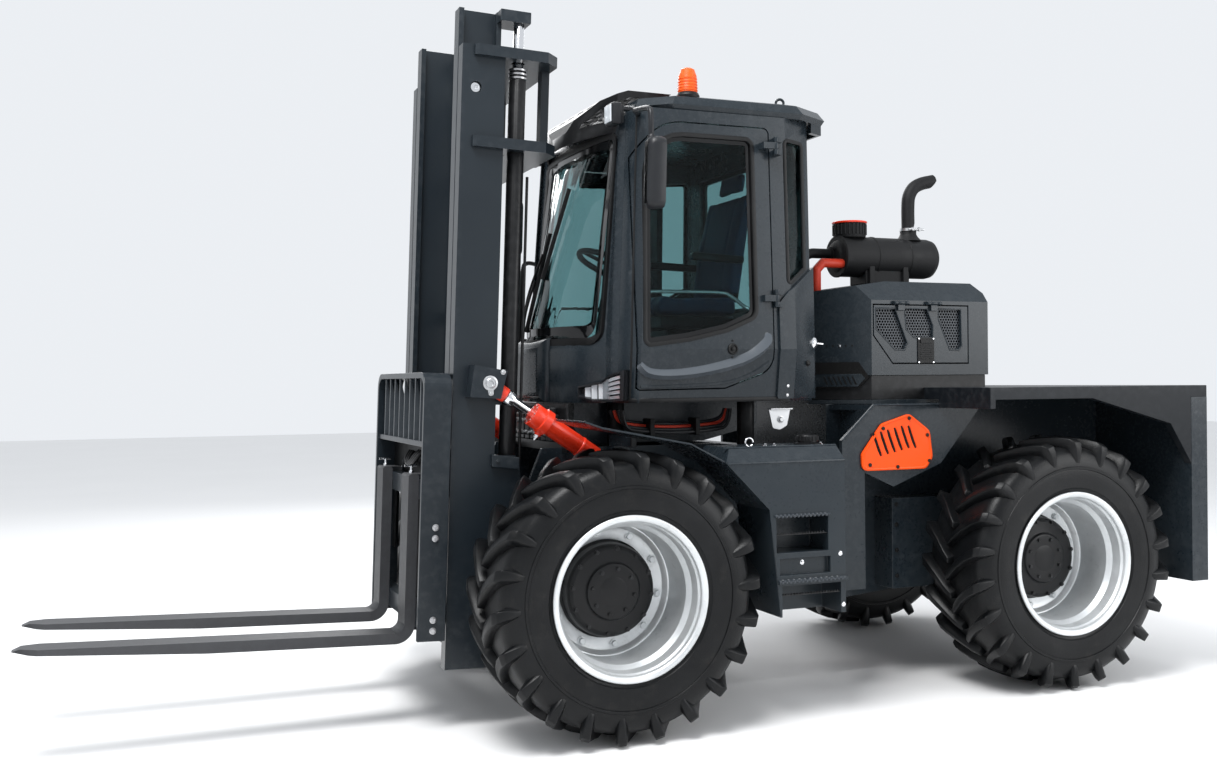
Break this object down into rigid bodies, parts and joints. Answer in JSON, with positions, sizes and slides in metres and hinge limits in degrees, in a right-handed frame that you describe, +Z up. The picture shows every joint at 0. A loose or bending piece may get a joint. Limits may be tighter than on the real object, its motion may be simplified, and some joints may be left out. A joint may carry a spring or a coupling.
{
  "type": "articulated rough terrain forklift",
  "caption": "Articulated rough terrain forklift with a closed cab, a two stage tilting mast, two forks with a slatted load guard, large lugged tyres and a rear engine",
  "frame": {"origin": "on the ground at the middle of the machine's length, fork tips to rear wall, on its plane of symmetry", "axes": "+X to the rear of the machine, +Y to its right side, +Z up; the forks point along -X"},
  "size_m": [5.2292, 1.966, 2.9987],
  "materials": {
    "frame_paint": "semi-gloss anthracite paint over plate",
    "mast_steel": "satin black paint",
    "fork_steel": "black forged steel, worn at the edges",
    "pin_steel": "turned steel",
    "rod_chrome": "hard chrome",
    "cylinder_paint": "orange red gloss paint",
    "cylinder_black": "black gloss paint",
    "axle_iron": "dark painted castings",
    "hose_rubber": "red moulded rubber",
    "vent_paint": "bright orange gloss paint",
    "tyre": "moulded black rubber",
    "rim_paint": "silver paint",
    "glass": "lightly tinted safety glass",
    "lamp_plastic": "black housings",
    "beacon_plastic": "amber lens",
    "seat_cloth": "black vinyl",
    "console_plastic": "dark grained plastic"
  },
  "bodies": {
    "front_frame": {"front_chassis": "frame_paint", "frame_pins": "pin_steel", "front_axle": "axle_iron", "cab_base": "frame_paint", "cab_mounts": "frame_paint", "front_fenders": "frame_paint", "step_boxes": "frame_paint", "cab_frame": "frame_paint", "cab_glass": "glass", "cab_roof": "frame_paint", "visor_grille": "mast_steel", "front_cowl": "frame_paint", "lamps": "lamp_plastic", "mirrors": "lamp_plastic", "beacon": "beacon_plastic", "cab_seat": "seat_cloth", "steering_column": "console_plastic"},
    "left_door": {"left_door": "frame_paint", "left_door_glass": "glass"},
    "right_door": {"right_door": "frame_paint", "right_door_glass": "glass"},
    "front_left_wheel": {"front_left_tyre": "tyre", "front_left_rim": "rim_paint"},
    "front_right_wheel": {"front_right_tyre": "tyre", "front_right_rim": "rim_paint"},
    "rear_left_wheel": {"rear_left_tyre": "tyre", "rear_left_rim": "rim_paint"},
    "rear_right_wheel": {"rear_right_tyre": "tyre", "rear_right_rim": "rim_paint"},
    "outer_mast": {"outer_mast": "mast_steel", "mast_pins": "pin_steel", "lift_cylinders": "cylinder_black"},
    "inner_mast": {"inner_mast": "mast_steel", "lift_rods": "rod_chrome"},
    "fork_carriage": {"fork_carriage": "mast_steel", "load_backrest": "mast_steel", "forks": "fork_steel"},
    "tilt_cylinders": {"tilt_cylinders": "cylinder_paint"},
    "tilt_rods": {"tilt_rods": "rod_chrome"},
    "rear_frame": {"rear_chassis": "frame_paint", "rear_axle": "axle_iron", "rear_pins": "pin_steel", "engine_block": "axle_iron", "hood": "frame_paint", "hood_base": "frame_paint", "shoulders": "frame_paint", "vent_panels": "vent_paint", "side_tanks": "frame_paint", "rear_deck": "frame_paint", "counterweight": "frame_paint", "muffler": "mast_steel", "intake_hose": "hose_rubber"},
    "left_hood_door": {"left_hood_door": "frame_paint"},
    "right_hood_door": {"right_hood_door": "frame_paint"},
    "left_steer_cylinder": {"left_steer_cylinder": "cylinder_black"},
    "right_steer_cylinder": {"right_steer_cylinder": "cylinder_black"},
    "left_steer_rod": {"left_steer_rod": "rod_chrome"},
    "right_steer_rod": {"right_steer_rod": "rod_chrome"}
  },
  "joints": [
    {"name": "articulation", "type": "hinge", "parent": "front_frame", "child": "rear_frame", "pos_m": [0.73458, 0, 0.72], "axis": [0, 0, 1], "range_deg": [-32, 32]},
    {"name": "mast_tilt", "type": "hinge", "parent": "front_frame", "child": "outer_mast", "pos_m": [-0.71542, 0, 0.5], "axis": [0, 1, 0], "range_deg": [-10, 4]},
    {"name": "mast_lift", "type": "slide", "parent": "outer_mast", "child": "inner_mast", "axis": [0.0384, 0, 0.9993], "range_m": [-0.116, 1.7]},
    {"name": "carriage_lift", "type": "slide", "parent": "inner_mast", "child": "fork_carriage", "axis": [0.0384, 0, 0.9993], "range_m": [-0.116, 1.7]},
    {"name": "tilt_cylinder_swing", "type": "hinge", "parent": "front_frame", "child": "tilt_cylinders", "pos_m": [-0.28542, 0, 1.06], "axis": [0, 1, 0], "range_deg": [-12, 6]},
    {"name": "tilt_rod_slide", "type": "slide", "parent": "tilt_cylinders", "child": "tilt_rods", "axis": [-0.8299, 0, 0.5579], "range_m": [-0.06, 0.14]},
    {"name": "left_door_hinge", "type": "hinge", "parent": "front_frame", "child": "left_door", "pos_m": [0.41458, -0.708, 1.97], "axis": [0, 0, 1], "range_deg": [0, 90]},
    {"name": "left_hood_door_hinge", "type": "hinge", "parent": "rear_frame", "child": "left_hood_door", "pos_m": [1.31458, -0.511, 1.785], "axis": [-1, 0, 0], "range_deg": [0, 75]},
    {"name": "front_left_wheel_spin", "type": "hinge", "parent": "front_frame", "child": "front_left_wheel", "pos_m": [-0.38542, -0.78, 0.578], "axis": [0, 1, 0], "continuous": true},
    {"name": "rear_left_wheel_spin", "type": "hinge", "parent": "rear_frame", "child": "rear_left_wheel", "pos_m": [1.80258, -0.78, 0.578], "axis": [0, 1, 0], "continuous": true},
    {"name": "left_steer_swing", "type": "hinge", "parent": "rear_frame", "child": "left_steer_cylinder", "pos_m": [1.30458, -0.23, 0.6], "axis": [0, 0, 1], "range_deg": [-12, 12]},
    {"name": "left_steer_slide", "type": "slide", "parent": "left_steer_cylinder", "child": "left_steer_rod", "axis": [-1, 0, 0], "range_m": [-0.14, 0.14]},
    {"name": "right_door_hinge", "type": "hinge", "parent": "front_frame", "child": "right_door", "pos_m": [0.41458, 0.708, 1.97], "axis": [0, 0, -1], "range_deg": [0, 90]},
    {"name": "right_hood_door_hinge", "type": "hinge", "parent": "rear_frame", "child": "right_hood_door", "pos_m": [1.31458, 0.511, 1.785], "axis": [1, 0, 0], "range_deg": [0, 75]},
    {"name": "front_right_wheel_spin", "type": "hinge", "parent": "front_frame", "child": "front_right_wheel", "pos_m": [-0.38542, 0.78, 0.578], "axis": [0, 1, 0], "continuous": true},
    {"name": "rear_right_wheel_spin", "type": "hinge", "parent": "rear_frame", "child": "rear_right_wheel", "pos_m": [1.80258, 0.78, 0.578], "axis": [0, 1, 0], "continuous": true},
    {"name": "right_steer_swing", "type": "hinge", "parent": "rear_frame", "child": "right_steer_cylinder", "pos_m": [1.30458, 0.23, 0.6], "axis": [0, 0, 1], "range_deg": [-12, 12]},
    {"name": "right_steer_slide", "type": "slide", "parent": "right_steer_cylinder", "child": "right_steer_rod", "axis": [-1, 0, 0], "range_m": [-0.14, 0.14]}
  ],
  "couplings": [
    {"joint": "carriage_lift", "follows": "mast_lift", "ratio": 1},
    {"joint": "tilt_cylinder_swing", "follows": "mast_tilt", "ratio": 0.8875},
    {"joint": "tilt_rod_slide", "follows": "mast_tilt", "m_per_rad": -0.7025},
    {"joint": "left_steer_swing", "follows": "articulation", "ratio": -0.24},
    {"joint": "right_steer_swing", "follows": "articulation", "ratio": -0.24},
    {"joint": "left_steer_slide", "follows": "articulation", "m_per_rad": 0.2275},
    {"joint": "right_steer_slide", "follows": "articulation", "m_per_rad": -0.2275}
  ]
}
